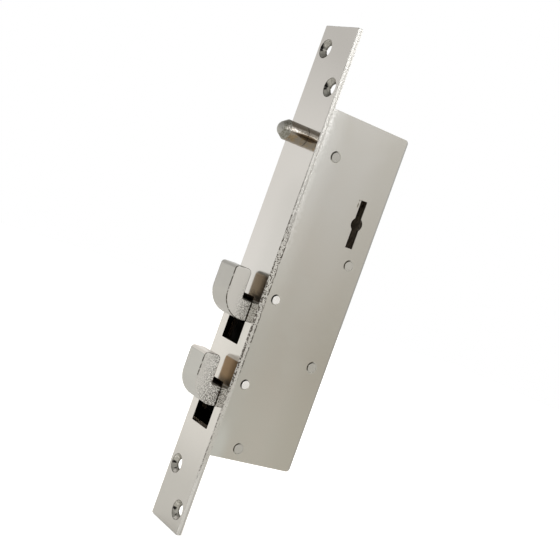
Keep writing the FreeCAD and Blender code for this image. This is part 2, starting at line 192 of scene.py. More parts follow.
dark_side = times(tree, ramp(tree, towards_camera, 0.45, 0.85), ramp(tree, way_z, 0.16, 0.02))
darkened = blend(tree, dark_side, cornered, (0.020, 0.016, 0.012))
seen = add_node(tree, "ShaderNodeLightPath").outputs["Is Camera Ray"]
glow = add_node(tree, "ShaderNodeBackground")
room_out = add_node(tree, "ShaderNodeOutputWorld")
join(
    tree,
    (blend(tree, seen, darkened, (1.0, 1.0, 1.0)), glow.inputs["Color"]),
    (glow.outputs["Background"], room_out.inputs["Surface"]),
)
bpy.context.scene.world = room

# Lamps: a wide soft one over the front of the plate that only lights the floor, and
# two strips on the cover side that only show mirrored, along the guide pin and on
# the tops of the hooks.


def light_card(name, place, size, watts, mirrored):
    """Flat soft lamp that faces the lock: either the metal mirrors it or it lights the floor."""
    data = bpy.data.lights.new(name, "AREA")
    data.shape = "RECTANGLE"
    data.size, data.size_y = size
    data.energy = watts
    card = bpy.data.objects.new(name, data)
    card.location = place
    card.rotation_mode = "QUATERNION"
    card.rotation_quaternion = Vector(place).to_track_quat("Z", "Y")
    card.visible_camera = False
    card.visible_glossy = mirrored
    card.visible_diffuse = not mirrored
    bpy.context.scene.collection.objects.link(card)


light_card("floor_light", place=(-0.8, -0.55, 1.3), size=(1.8, 1.8), watts=17.0, mirrored=False)
light_card("side_lamp", place=(1.06, 0.64, 0.56), size=(0.70, 0.36), watts=1.9, mirrored=True)
light_card("camera_lamp", place=(0.88, -0.62, 0.30), size=(0.60, 0.30), watts=1.1, mirrored=True)

# Floor: plain pale board just below the lock, which stands on the end of its plate.
floor_half = 1.5
floor_level = cad_box[0][2] - 0.0004
corners = [(floor_half * x, floor_half * y) for x, y in ((-1, -1), (1, -1), (1, 1), (-1, 1))]
floor_mesh = bpy.data.meshes.new("floor")
floor_mesh.from_pydata([(x, y, floor_level) for x, y in corners], [], [(0, 1, 2, 3)])
floor = bpy.data.objects.new("floor", floor_mesh)
bpy.context.scene.collection.objects.link(floor)
floor_paint = bpy.data.materials.new("pale_floor")
floor_paint.use_nodes = True
tree = floor_paint.node_tree
shader = tree.nodes["Principled BSDF"]
shader.inputs["Base Color"].default_value = (0.92, 0.91, 0.88, 1)
shader.inputs["Roughness"].default_value = 0.9
shader.inputs["Specular IOR Level"].default_value = 0.1
shader.inputs["Emission Color"].default_value = (1, 1, 1, 1)
seen = add_node(tree, "ShaderNodeLightPath").outputs["Is Camera Ray"]
tree.links.new(times(tree, seen, 0.62), shader.inputs["Emission Strength"])
floor.data.materials.append(floor_paint)

# Face plate: a strip sheared from steel sheet, punched and countersunk, then nickel
# plated and polished on the front. Each sheared side keeps a torn band along both
# of its edges, roughest where the hooks come through.


def new_group(name, inputs, outputs):
    """Empty shader group with named sockets, each given as a name, a kind and a value."""
    group = bpy.data.node_groups.new(name, "ShaderNodeTree")
    for label, kind, value in inputs:
        socket = group.interface.new_socket(label, in_out="INPUT", socket_type=kind)
        if value is not None:
            socket.default_value = value
    for label, kind in outputs:
        group.interface.new_socket(label, in_out="OUTPUT", socket_type=kind)
    return group, add_node(group, "NodeGroupInput"), add_node(group, "NodeGroupOutput")


# Edge rims: a mask of the rims, broken up by noise. On the turned steel, bar, levers
# and spring it lightens the rims as wear; on the plate and case it darkens them, and
# on the hooks it carries painted shade.
edge_rims, given, told = new_group(
    "edge_rims",
    [
        ("Place", "NodeSocketVector", None),
        ("Radius", "NodeSocketFloat", 0.0004),
        ("Break Up", "NodeSocketFloat", 900.0),
    ],
    [("Mask", "NodeSocketFloat")],
)
rounded = add_node(edge_rims, "ShaderNodeBevel", samples=6)
true_face = add_node(edge_rims, "ShaderNodeNewGeometry")
agreement = add_node(edge_rims, "ShaderNodeVectorMath", operation="DOT_PRODUCT")
rim_noise = add_node(edge_rims, "ShaderNodeTexNoise", {"Detail": 4.0, "Roughness": 0.6})
join(
    edge_rims,
    (given.outputs["Radius"], rounded.inputs["Radius"]),
    (rounded.outputs["Normal"], agreement.inputs[0]),
    (true_face.outputs["Normal"], agreement.inputs[1]),
    (given.outputs["Place"], rim_noise.inputs["Vector"]),
    (given.outputs["Break Up"], rim_noise.inputs["Scale"]),
)
turned = ramp(edge_rims, agreement.outputs["Value"], 0.985, 0.80)
rim_patch = ramp(edge_rims, rim_noise.outputs["Fac"], 0.35, 0.62, 0.35, 1.0)
join(edge_rims, (times(edge_rims, turned, rim_patch), told.inputs["Mask"]))

# Rolled grain: fine lines along the sheet and a slow clouding of the finish.
rolled_grain, given, told = new_group(
    "rolled_grain",
    [
        ("Place", "NodeSocketVector", None),
        ("Line Scale", "NodeSocketFloat", 6000.0),
        ("Cloud Scale", "NodeSocketFloat", 45.0),
    ],
    [("Height", "NodeSocketFloat"), ("Cloud", "NodeSocketFloat")],
)
along = add_node(rolled_grain, "ShaderNodeMapping", {"Scale": (1.0, 1.0, 0.03)})
lines = add_node(rolled_grain, "ShaderNodeTexNoise", {"Detail": 5.0, "Roughness": 0.65})
clouds = add_node(rolled_grain, "ShaderNodeTexNoise", {"Detail": 3.0, "Roughness": 0.5, "Distortion": 0.4})
join(
    rolled_grain,
    (given.outputs["Place"], along.inputs["Vector"]),
    (along.outputs["Vector"], lines.inputs["Vector"]),
    (given.outputs["Line Scale"], lines.inputs["Scale"]),
    (given.outputs["Place"], clouds.inputs["Vector"]),
    (given.outputs["Cloud Scale"], clouds.inputs["Scale"]),
    (lines.outputs["Fac"], told.inputs["Height"]),
    (clouds.outputs["Fac"], told.inputs["Cloud"]),
)

# Pitted grain: the uneven height of a cast skin or a torn cut.
pitted_grain, given, told = new_group(
    "pitted_grain",
    [
        ("Place", "NodeSocketVector", None),
        ("Pit Scale", "NodeSocketFloat", 2200.0),
        ("Fine Scale", "NodeSocketFloat", 7000.0),
    ],
    [("Height", "NodeSocketFloat")],
)
cells = add_node(pitted_grain, "ShaderNodeTexVoronoi", {"Randomness": 1.0}, feature="SMOOTH_F1")
cells.inputs["Smoothness"].default_value = 0.35
fine = add_node(pitted_grain, "ShaderNodeTexNoise", {"Detail": 4.0, "Roughness": 0.7})
join(
    pitted_grain,
    (given.outputs["Place"], cells.inputs["Vector"]),
    (given.outputs["Pit Scale"], cells.inputs["Scale"]),
    (given.outputs["Place"], fine.inputs["Vector"]),
    (given.outputs["Fine Scale"], fine.inputs["Scale"]),
)
pit_wall = ramp(pitted_grain, cells.outputs["Distance"], 0.05, 0.50)
skin = combine(pitted_grain, "MULTIPLY_ADD", pit_wall, 0.5, fine.outputs["Fac"])
join(pitted_grain, (skin, told.inputs["Height"]))


def new_metal(name):
    """Fully metallic material, returned with its tree, its shader and the place on the piece."""
    metal = bpy.data.materials.new(name)
    metal.use_nodes = True
    tree = metal.node_tree
    shader = tree.nodes["Principled BSDF"]
    shader.inputs["Metallic"].default_value = 1.0
    place = add_node(tree, "ShaderNodeTexCoord").outputs["Object"]
    return metal, tree, shader, place


def use_group(tree, group, place, **values):
    """One group placed in a material with its own values."""
    node = add_node(tree, "ShaderNodeGroup", node_tree=group)
    for name, value in values.items():
        node.inputs[name.replace("_", " ")].default_value = value
    tree.links.new(place, node.inputs["Place"])
    return node


def noise(tree, place, scale, detail, roughness=0.5):
    """Soft noise all over a piece; a higher detail makes it finer."""
    node = add_node(tree, "ShaderNodeTexNoise", {"Scale": scale, "Detail": detail, "Roughness": roughness})
    tree.links.new(place, node.inputs["Vector"])
    return node.outputs["Fac"]


def stretch(tree, height, top, foot):
    """Mask of a stretch of the lock that fades in downwards at its top and fades out at its foot."""
    return times(tree, ramp(tree, height, *top), ramp(tree, height, *foot))


def around(tree, place, centre, scale):
    """Offset of a place from a centre, with each axis scaled, and the length of that offset."""
    offset = vector_step(tree, "MULTIPLY", vector_step(tree, "SUBTRACT", place, centre), scale)
    return offset, vector_step(tree, "LENGTH", offset)


def bumped(tree, height, strength, distance, below=None):
    """Normal socket that a height bends, on top of another bump where one is given."""
    node = add_node(tree, "ShaderNodeBump", {"Strength": strength, "Distance": distance})
    tree.links.new(height, node.inputs["Height"])
    if below is not None:
        tree.links.new(below, node.inputs["Normal"])
    return node.outputs["Normal"]


def finish(tree, shader, colour, roughness, normal=None):
    """Feeds the shader of a metal."""
    join(tree, (colour, shader.inputs["Base Color"]), (roughness, shader.inputs["Roughness"]))
    if normal is not None:
        tree.links.new(normal, shader.inputs["Normal"])


def dress(names, metal, rim=0.0):
    """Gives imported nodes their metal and, where wanted, a small round on their sharp edges."""
    for name in names:
        nodes[name].data.materials.clear()
        nodes[name].data.materials.append(metal)
        if rim:
            weld = nodes[name].modifiers.new("weld", "WELD")
            weld.merge_threshold = 0.000002
            edge = nodes[name].modifiers.new("rim", "BEVEL")
            edge.width = rim
            edge.segments = 2
            edge.limit_method = "ANGLE"
            edge.angle_limit = math.radians(40)


def middle(name):
    """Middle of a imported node's box."""
    low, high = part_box(name)
    return (low + high) / 2


plate_nickel, tree, shader, place = new_metal("plate_polish")
x, y, z = axes(tree, place)
plate_low, plate_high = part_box("face_plate")
plate_front = plate_low[1]
plate_back = plate_high[1]
plate_half = plate_high[0]
grain = use_group(tree, rolled_grain, place, Line_Scale=5000.0, Cloud_Scale=30.0)
rim_mask = use_group(tree, edge_rims, place, Radius=0.00025, Break_Up=1500.0).outputs["Mask"]

# The polished front is darker towards the foot and beside the hooks, and dark at its rims.
nickel = blend(tree, grain.outputs["Cloud"], (0.69, 0.67, 0.635), (0.74, 0.72, 0.69))
footed = blend(tree, ramp(tree, z, -0.120, -0.156), nickel, (0.598, 0.584, 0.553))
along_hooks = stretch(tree, z, top=(0.020, 0.000), foot=(-0.110, -0.090))
hook_side = times(tree, ramp(tree, x, -0.010, 0.012), along_hooks)
dimmed = blend(tree, hook_side, footed, (0.660, 0.645, 0.610))
front_line = times(tree, rim_mask, ramp(tree, z, -0.024, 0.004, 1.0, 0.30))
rim_toned = blend(tree, front_line, dimmed, (0.38, 0.36, 0.32))

# The sheared sides are bright above and dull beside the hooks, with a grey streak
# and small facets where they are bright.
on_side = ramp(tree, combine(tree, "ABSOLUTE", x), plate_half - 0.00030, plate_half - 0.00015)
side_dull = stretch(tree, z, top=(0.004, -0.026), foot=(-0.150, -0.136))
side_tone = blend(tree, side_dull, (0.79, 0.78, 0.75), (0.63, 0.615, 0.575))
mid_side = times(
    tree,
    ramp(tree, y, plate_front + 0.0015, plate_front + 0.0019),
    ramp(tree, y, plate_back - 0.00025, plate_back - 0.0006),
)
side_streak = times(tree, on_side, mid_side, ramp(tree, side_dull, 1.0, 0.0), 0.50)
silvered = blend(tree, side_streak, blend(tree, on_side, rim_toned, side_tone), (0.42, 0.41, 0.385))
scrap_cells = add_node(tree, "ShaderNodeTexVoronoi", {"Scale": 950.0, "Randomness": 0.75})
tree.links.new(place, scrap_cells.inputs["Vector"])
scraps = scrap_cells.outputs["Distance"]
facet_zone = times(tree, ramp(tree, z, -0.030, -0.010), ramp(tree, z, 0.060, 0.030, 0.35, 1.0))
facets = times(tree, on_side, facet_zone, ramp(tree, scraps, 0.44, 0.54), 0.55)
faceted = blend(tree, facets, silvered, (0.38, 0.37, 0.34))

# The torn bands run along both edges. The front one widens beside the lower hook,
# the back one lies beside both hooks, and dark scraps bridge them at the upper hook.
wide_stretch = stretch(tree, z, top=(-0.045, -0.056), foot=(-0.108, -0.092))
band_end = ramp(tree, wide_stretch, 0.0, 1.0, plate_front + 0.00060, plate_front + 0.00145)
front_band = ramp(tree, combine(tree, "SUBTRACT", band_end, y), -0.00010, 0.00020)
back_edge = ramp(tree, y, plate_back - 0.00045, plate_back - 0.00020)
back_band = times(tree, back_edge, stretch(tree, z, top=(-0.008, -0.020), foot=(-0.096, -0.086)))
torn_zone = times(tree, on_side, combine(tree, "MAXIMUM", front_band, back_band))
torn_scraps = times(tree, torn_zone, ramp(tree, scraps, 0.62, 0.46))
bridge_stretch = stretch(tree, z, top=(0.006, -0.020), foot=(-0.064, -0.050))
dot_size = ramp(tree, bridge_stretch, 0.0, 1.0, 0.20, 0.36)
bridge = times(tree, on_side, ramp(tree, combine(tree, "SUBTRACT", dot_size, scraps), -0.04, 0.06))
below_top = ramp(tree, z, 0.035, -0.012, 0.30, 0.90)
above_foot = times(tree, ramp(tree, z, -0.156, -0.140, 0.1, 1.0), ramp(tree, z, -0.110, -0.092, 0.75, 1.0))
specks = times(tree, combine(tree, "MAXIMUM", torn_scraps, bridge), below_top, above_foot)
scarred = blend(tree, specks, faceted, (0.055, 0.042, 0.030))

# The front rims of the two ends carry a row of dark dots.
stained = ramp(tree, noise(tree, place, 650.0, 2.0), 0.40, 0.52)
plate_middle = middle("face_plate")[2]
plate_reach = plate_high[2] - plate_middle
from_middle = combine(tree, "ABSOLUTE", combine(tree, "SUBTRACT", z, plate_middle))
end_rim = ramp(tree, from_middle, plate_reach - 0.00032, plate_reach - 0.00022)
front_edge = ramp(tree, y, plate_front + 0.00030, plate_front + 0.00022)
sunk = blend(tree, times(tree, end_rim, front_edge, stained), scarred, (0.16, 0.15, 0.13))

# The countersinks are rougher than the front and grey, with a dark line at rim and
# bore. Each hole is given by its place, the tones of its upper and its lower half, and
# its marks; the two half tones are painted light and shade. The marks are frayed dark
# spots and painted highlights, each given by its place from the hole's axis, its size
# and its tone.
dark = 0.020
painted_highlight = 0.850
upper_marks = (
    (-0.0043, 0.0025, 0.0006, dark),
    (-0.0047, 0.0015, 0.0010, dark),
    (-0.0045, 0.0005, 0.0011, dark),
    (-0.0044, -0.0008, 0.0009, dark),
    (-0.0022, -0.0008, 0.0006, dark),
    (0.0014, 0.0040, 0.0011, painted_highlight),
    (0.0029, 0.0031, 0.0010, painted_highlight),
)
lower_marks = (
    (-0.0042, -0.0005, 0.0011, dark),
    (0.0008, -0.0024, 0.0009, dark),
    (-0.0020, -0.0030, 0.0006, dark),
    (0.0008, -0.0039, 0.0014, painted_highlight),
    (-0.0008, -0.0042, 0.0008, painted_highlight),
)
screw_holes = (
    (-0.008, 0.0792, 0.46, 0.45, upper_marks),
    (0.008, 0.0597, 0.46, 0.45, upper_marks),
    (-0.008, -0.1483, 0.70, 0.50, lower_marks),
    (0.008, -0.1678, 0.70, 0.50, lower_marks),
)
cone_rim = 0.00530
bore_rim = 0.00300
fray_width = 0.0013
in_sheet = times(
    tree,
    ramp(tree, y, plate_front + 0.00003, plate_front + 0.00010),
    ramp(tree, y, plate_back - 0.00010, plate_back - 0.00020),
)
fray = add_node(tree, "ShaderNodeTexNoise", {"Scale": 1400.0, "Detail": 2.0})
tree.links.new(place, fray.inputs["Vector"])
fray_centred = vector_step(tree, "SUBTRACT", fray.outputs["Color"], (0.5, 0.5, 0.5))
rough_zone = torn_zone
for hole_x, hole_z, top_tone, foot_tone, marks in screw_holes:
    from_axis, reach = around(tree, place, (hole_x, 0.0, hole_z), (1.0, 0.0, 1.0))
    in_cone = times(tree, ramp(tree, reach, cone_rim + 0.00005, cone_rim), in_sheet)
    rough_zone = combine(tree, "MAXIMUM", rough_zone, in_cone)
    tone = blend(
        tree,
        ramp(tree, axes(tree, from_axis)[2], -0.0006, 0.0010),
        (foot_tone, 0.98 * foot_tone, 0.89 * foot_tone),
        (top_tone, 0.98 * top_tone, 0.90 * top_tone),
    )
    mottled = blend(tree, times(tree, stained, 0.45), tone, (0.20, 0.19, 0.165))
    coned = blend(tree, in_cone, sunk, mottled)
    rim_line = times(tree, ramp(tree, reach, cone_rim - 0.00045, cone_rim - 0.00030), in_cone, 0.75)
    lined = blend(tree, rim_line, coned, (0.05, 0.045, 0.038))
    bore_line = times(tree, ramp(tree, reach, bore_rim, bore_rim - 0.00015), in_cone, 0.7)
    sunk = blend(tree, bore_line, lined, (0.10, 0.09, 0.075))
    frayed = add_node(tree, "ShaderNodeVectorMath", operation="MULTIPLY_ADD")
    frayed.inputs[1].default_value = (fray_width, 0.0, fray_width)
    join(tree, (fray_centred, frayed.inputs[0]), (from_axis, frayed.inputs[2]))
    for mark_x, mark_z, mark_size, mark_tone in marks:
        apart = vector_step(tree, "DISTANCE", frayed.outputs["Vector"], (mark_x, 0.0, mark_z))
        mark = times(tree, ramp(tree, apart, mark_size, 0.45 * mark_size), in_cone)
        sunk = blend(tree, mark, sunk, (mark_tone, 0.96 * mark_tone, 0.90 * mark_tone))

gloss = ramp(tree, grain.outputs["Cloud"], 0.35, 0.65, 0.07, 0.12)
roughness = combine(tree, "ADD", gloss, times(tree, rough_zone, 0.22))
torn = use_group(tree, pitted_grain, place, Pit_Scale=1500.0, Fine_Scale=2300.0)
normal = bumped(tree, times(tree, torn.outputs["Height"], on_side), 0.8, 0.00016)
normal = bumped(tree, grain.outputs["Height"], 0.04, 0.00002, normal)
finish(tree, shader, sunk, roughness, normal)
dress(["face_plate"], plate_nickel)

# Shear burrs: ragged threads of metal that the shear has left along the four long
# edges of the plate, plated with it.
burr = bpy.data.node_groups.new("shear_burr", "GeometryNodeTree")
burr.interface.new_socket("Geometry", in_out="OUTPUT", socket_type="NodeSocketGeometry")
for label, kind, value in (
    ("Seed Place", "NodeSocketVector", None),
    ("Length", "NodeSocketFloat", 0.1),
    ("Step", "NodeSocketFloat", 0.0003),
    ("Thread", "NodeSocketFloat", 0.0001),
    ("Wander", "NodeSocketFloat", 0.00005),
    ("Metal", "NodeSocketMaterial", None),
):
    socket = burr.interface.new_socket(label, in_out="INPUT", socket_type=kind)
    if value is not None:
        socket.default_value = value
given = add_node(burr, "NodeGroupInput")
told = add_node(burr, "NodeGroupOutput")
lift = add_node(burr, "ShaderNodeCombineXYZ")
edge_line = add_node(burr, "GeometryNodeCurvePrimitiveLine")
points = add_node(burr, "GeometryNodeResampleCurve", mode="LENGTH")
here = add_node(burr, "GeometryNodeInputPosition")
shifted = add_node(burr, "ShaderNodeVectorMath", operation="ADD")
ragged = add_node(burr, "ShaderNodeTexNoise", {"Scale": 900.0, "Detail": 3.0, "Roughness": 0.7})
centred = add_node(burr, "ShaderNodeVectorMath", {1: (0.5, 0.5, 0.5)}, operation="SUBTRACT")
swing = add_node(burr, "ShaderNodeVectorMath", operation="SCALE")
bent = add_node(burr, "GeometryNodeSetPosition")
thick = add_node(burr, "ShaderNodeMapRange", {1: 0.40, 2: 0.62, 3: 0.15, 4: 1.0})
width = add_node(burr, "ShaderNodeMath", operation="MULTIPLY")
section = add_node(burr, "GeometryNodeCurvePrimitiveCircle", {"Resolution": 5, "Radius": 1.0})
thread = add_node(burr, "GeometryNodeCurveToMesh")
real = add_node(burr, "GeometryNodeRealizeInstances")
painted = add_node(burr, "GeometryNodeSetMaterial")
join(
    burr,
    (given.outputs["Length"], lift.inputs["Z"]),
    (lift.outputs[0], edge_line.inputs["End"]),
    (edge_line.outputs[0], points.inputs["Curve"]),
    (given.outputs["Step"], points.inputs["Length"]),
    (here.outputs[0], shifted.inputs[0]),
    (given.outputs["Seed Place"], shifted.inputs[1]),
    (shifted.outputs[0], ragged.inputs["Vector"]),
    (ragged.outputs["Color"], centred.inputs[0]),
    (centred.outputs[0], swing.inputs[0]),
    (given.outputs["Wander"], swing.inputs["Scale"]),
    (points.outputs[0], bent.inputs["Geometry"]),
    (swing.outputs[0], bent.inputs["Offset"]),
    (ragged.outputs["Fac"], thick.inputs[0]),
    (thick.outputs[0], width.inputs[0]),
    (given.outputs["Thread"], width.inputs[1]),
    (bent.outputs[0], thread.inputs["Curve"]),
    (section.outputs[0], thread.inputs["Profile Curve"]),
    (width.outputs[0], thread.inputs["Scale"]),
    (thread.outputs[0], real.inputs[0]),
    (real.outputs[0], painted.inputs["Geometry"]),
    (given.outputs["Metal"], painted.inputs["Material"]),
    (painted.outputs[0], told.inputs["Geometry"]),
)


def grow(name, group, values):
    """Plain mesh object grown by a geometry group with its named inputs set."""
    source = bpy.data.objects.new(name + "_source", bpy.data.meshes.new(name + "_source"))
    bpy.context.scene.collection.objects.link(source)
    maker = source.modifiers.new("grow", "NODES")
    maker.node_group = group
    for item in group.interface.items_tree:
        if item.item_type == "SOCKET" and item.in_out == "INPUT" and item.name in values:
            maker[item.identifier] = values[item.name]
    solved = source.evaluated_get(bpy.context.evaluated_depsgraph_get())
    mesh = bpy.data.meshes.new_from_object(solved)
    grown = bpy.data.objects.new(name, mesh)
    bpy.context.scene.collection.objects.link(grown)
    bpy.data.objects.remove(source)
    return grown


end_margin = 0.002
front_inset = 0.00022
back_inset = 0.00016
front_depth = plate_front + 0.00018
back_depth = plate_back - 0.00012
for burr_name, burr_x, burr_y, seed in (
    ("burr_right_front", plate_half - front_inset, front_depth, 1.0),
    ("burr_right_back", plate_half - back_inset, back_depth, 2.0),
    ("burr_left_front", front_inset - plate_half, front_depth, 3.0),
    ("burr_left_back", back_inset - plate_half, back_depth, 4.0),
):
    values = {
        "Seed Place": (seed, 0.0, 0.0),
        "Length": plate_high[2] - plate_low[2] - 2 * end_margin,
        "Step": 0.00035,
        "Thread": 0.00012,
        "Wander": 0.00012,
        "Metal": plate_nickel,
    }
    piece = grow(burr_name, burr, values)
    piece.data.transform(Matrix.Translation((burr_x, burr_y, plate_low[2] + end_margin)))
    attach(piece, "lock_case")

# Guide pin: plain turned steel with a tapered nose and a domed tip, held by a nut on
# the flange inside the case. A bright strip along it is a painted highlight; a band of
# painted shade and stains lie below that. The sleeves are turned from the same bar.


def turned_steel(name, axis, low, high, roughness, ring_scale, ring_depth):
    """Metal with lathe rings along one axis of the lock; also returns what later marks need."""
    metal, tree, shader, place = new_metal(name)
    ring_values = {"Scale": ring_scale, "Detail": 4.0, "Roughness": 0.7}
    rings = add_node(tree, "ShaderNodeTexNoise", ring_values, noise_dimensions="1D")
    tree.links.new(axes(tree, place)[axis], rings.inputs["W"])
    clouds = noise(tree, place, 160.0, 4.0)
    rim_mask = use_group(tree, edge_rims, place, Radius=0.0003, Break_Up=1600.0).outputs["Mask"]
    steel = blend(tree, clouds, low, high)
    rim_toned = blend(tree, rim_mask, steel, tuple(min(1.0, channel * 1.2) for channel in high))
    dull = ramp(tree, clouds, 0.35, 0.65, roughness, roughness + 0.08)
    finish(tree, shader, rim_toned, dull, bumped(tree, rings.outputs["Fac"], ring_depth, 0.00003))
    return metal, tree, shader, place, rim_toned


guide_steel, tree, shader, place, steel = turned_steel(
    "guide_steel", "Y", (0.25, 0.215, 0.17), (0.36, 0.33, 0.285), 0.26, 1900.0, 0.8)
x, y, z = axes(tree, place)
pin_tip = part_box("guide_pin")[0][1]
nose_end = pin_tip + 0.0045
strip_root = plate_front - 0.0005
above_axis = combine(tree, "SUBTRACT", z, middle("guide_pin")[2])
cover_side = ramp(tree, x, 0.0000, 0.0010)
flecks = noise(tree, place, 1300.0, 3.0, 0.6)

# Nose and tip are paler than the body.
on_nose = ramp(tree, y, nose_end + 0.0004, nose_end)
on_tip = ramp(tree, y, pin_tip + 0.0016, pin_tip + 0.0012)
nose_skin = blend(tree, ramp(tree, flecks, 0.40, 0.60), (0.20, 0.19, 0.155), (0.33, 0.325, 0.285))
nose = blend(tree, on_nose, steel, nose_skin)
tip = blend(tree, on_tip, nose, (0.40, 0.395, 0.365))

# Brown stains on the lower half of the body.
tints = noise(tree, place, 330.0, 2.0)
lower_half = ramp(tree, above_axis, -0.0006, -0.0018)
behind_nose = ramp(tree, y, nose_end, nose_end + 0.0010)
stain = times(tree, ramp(tree, tints, 0.46, 0.60, 0.0, 0.7), behind_nose, lower_half)
tinted = blend(tree, stain, tip, (0.34, 0.25, 0.14))

# The painted highlight strip narrows towards the nose.
highlight_top = ramp(tree, y, nose_end - 0.0005, strip_root, 0.0022, 0.0026)
highlight_foot = ramp(tree, y, nose_end - 0.0005, strip_root, -0.0001, 0.0008)
over_foot = combine(tree, "SUBTRACT", above_axis, highlight_foot)
below_highlight_top = ramp(tree, combine(tree, "SUBTRACT", highlight_top, above_axis), -0.0002, 0.0002)
highlight_patch = ramp(tree, flecks, 0.43, 0.55, 0.10, 1.0)
on_body = ramp(tree, y, pin_tip + 0.0022, pin_tip + 0.0030)
highlight_strip = times(tree, below_highlight_top, ramp(tree, over_foot, -0.0003, 0.0001), cover_side, highlight_patch, on_body)
brightened = blend(tree, highlight_strip, tinted, (0.62, 0.59, 0.55))

# A band of painted shade lies under the strip and darkens towards the plate, and the joint with the plate
# is dark.
shade_band_foot = ramp(tree, y, nose_end, strip_root, -0.0005, -0.0019)
over_shade_band_foot = ramp(tree, combine(tree, "SUBTRACT", above_axis, shade_band_foot), -0.0003, 0.0003)
below_strip = ramp(tree, over_foot, 0.0002, -0.0002)
stronger_to_plate = ramp(tree, y, nose_end, nose_end + 0.0065, 0.15, 1.0)
shade_paint = times(tree, over_shade_band_foot, below_strip, cover_side, stronger_to_plate)
shade_painted = blend(tree, shade_paint, brightened, (0.085, 0.060, 0.036))
at_plate = ramp(tree, y, plate_front - 0.00028, plate_front - 0.00016)
rooted = blend(tree, at_plate, shade_painted, (0.05, 0.038, 0.028))
nose_dull = ramp(tree, on_nose, 0.0, 1.0, 0.27, 0.42)
join(tree, (rooted, shader.inputs["Base Color"]), (nose_dull, shader.inputs["Roughness"]))
dress(["guide_pin"], guide_steel)
nut_steel = turned_steel("nut_steel", "X", (0.55, 0.54, 0.51), (0.62, 0.61, 0.58), 0.32, 3000.0, 0.15)[0]
dress(["guide_pin_nut", "upper_pivot_sleeve", "lower_pivot_sleeve", "lever_sleeve"], nut_steel)

# Case: a body folded from 1.6 mm sheet and a flat cover, nickel plated to a satin
# finish. It carries a painted highlight beside the plate, and painted shade inside. Two
# nicks of a slipped key lie beside the keyhole.
case_nickel, tree, shader, place = new_metal("case_sheet")
x, y, z = axes(tree, place)
case_low, case_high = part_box("case_body")
cover_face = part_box("case_cover")[1][0]
grain = use_group(tree, rolled_grain, place, Line_Scale=2500.0, Cloud_Scale=38.0)
rim_mask = use_group(tree, edge_rims, place, Radius=0.0005, Break_Up=900.0).outputs["Mask"]
tone = blend(tree, grain.outputs["Cloud"], (0.535, 0.518, 0.470), (0.535, 0.527, 0.498))
low_tone = blend(tree, grain.outputs["Cloud"], (0.550, 0.512, 0.450), (0.530, 0.522, 0.465))
satin = blend(tree, ramp(tree, z, 0.030, -0.110), tone, low_tone)
# Painted highlight: the sheet is painted lighter beside the plate, most towards the top.
beside_plate = blend(tree, ramp(tree, z, -0.100, -0.020), (1.00, 1.02, 1.05), (1.13, 1.14, 1.17))
from_plate = ramp(tree, y, plate_back + 0.0025, plate_back + 0.0155)
plate_highlight = blend(tree, from_plate, beside_plate, (1.00, 1.00, 1.01))
faded = blend(tree, ramp(tree, y, -0.012, 0.010), plate_highlight, (0.93, 0.925, 0.915))
shaded = add_node(tree, "ShaderNodeMix", {"Factor": 1.0}, data_type="RGBA", blend_type="MULTIPLY")
join(tree, (satin, shaded.inputs["A"]), (faded, shaded.inputs["B"]))

# Frayed glints beside the plate above the hooks, and a rubbed patch near the foot.
glint_fray = 0.016
grains = noise(tree, place, 850.0, 3.0, 0.6)
near_plate = ramp(tree, combine(tree, "MULTIPLY_ADD", grains, glint_fray, y), -0.0265, -0.0274)
high_up = times(tree, ramp(tree, z, 0.022, 0.042, 0.45, 1.0), ramp(tree, z, -0.034, -0.018))
glinting = times(tree, near_plate, high_up, ramp(tree, grains, 0.42, 0.56, 0.25, 1.0))
glint = blend(tree, glinting, shaded.outputs["Result"], (0.98, 0.975, 0.955))
patch_middle = (0.0, -0.0350, -0.1290)
from_patch = around(tree, place, patch_middle, (0.0, 1.0, 0.45))[1]
polished = blend(tree, ramp(tree, from_patch, 0.0080, 0.0015, 0.0, 0.62), glint, (0.64, 0.655, 0.62))
rim_toned = blend(tree, rim_mask, polished, (0.42, 0.40, 0.36))

# Painted shade in the corner at the plate beside the hooks, and the two nicks.
smears = noise(tree, place, 420.0, 3.0, 0.6)
beside_hooks = stretch(tree, z, top=(-0.008, -0.022), foot=(-0.098, -0.086))
at_back = ramp(tree, y, plate_back + 0.0022, plate_back + 0.0018)
corner_shade = times(tree, at_back, beside_hooks, ramp(tree, smears, 0.62, 0.45))
nicked = blend(tree, corner_shade, rim_toned, (0.06, 0.05, 0.038))
nick_width = 0.0005
for nick_y, nick_z, nick_length in ((-0.00330, 0.01235, 0.0005), (-0.00335, 0.0098, 0.0016)):
    nick_place = (cover_face, nick_y, nick_z)
    from_nick = around(tree, place, nick_place, (1.0, 1.0, nick_width / nick_length))[1]
    nicked = blend(tree, ramp(tree, from_nick, 0.00055, 0.00025), nicked, (0.22, 0.20, 0.16))

# Painted light: the sheet is lit in a ring about each riveted end, with painted shade towards the plate.


def round_end(tree, place, name):
    """Distance from the axis of a round piece, and how far towards the top of the plate."""
    from_axis, reach = around(tree, place, middle(name), (0.0, 1.0, 1.0))
    return reach, vector_step(tree, "DOT_PRODUCT", from_axis, (0.0, -0.92, 0.38))


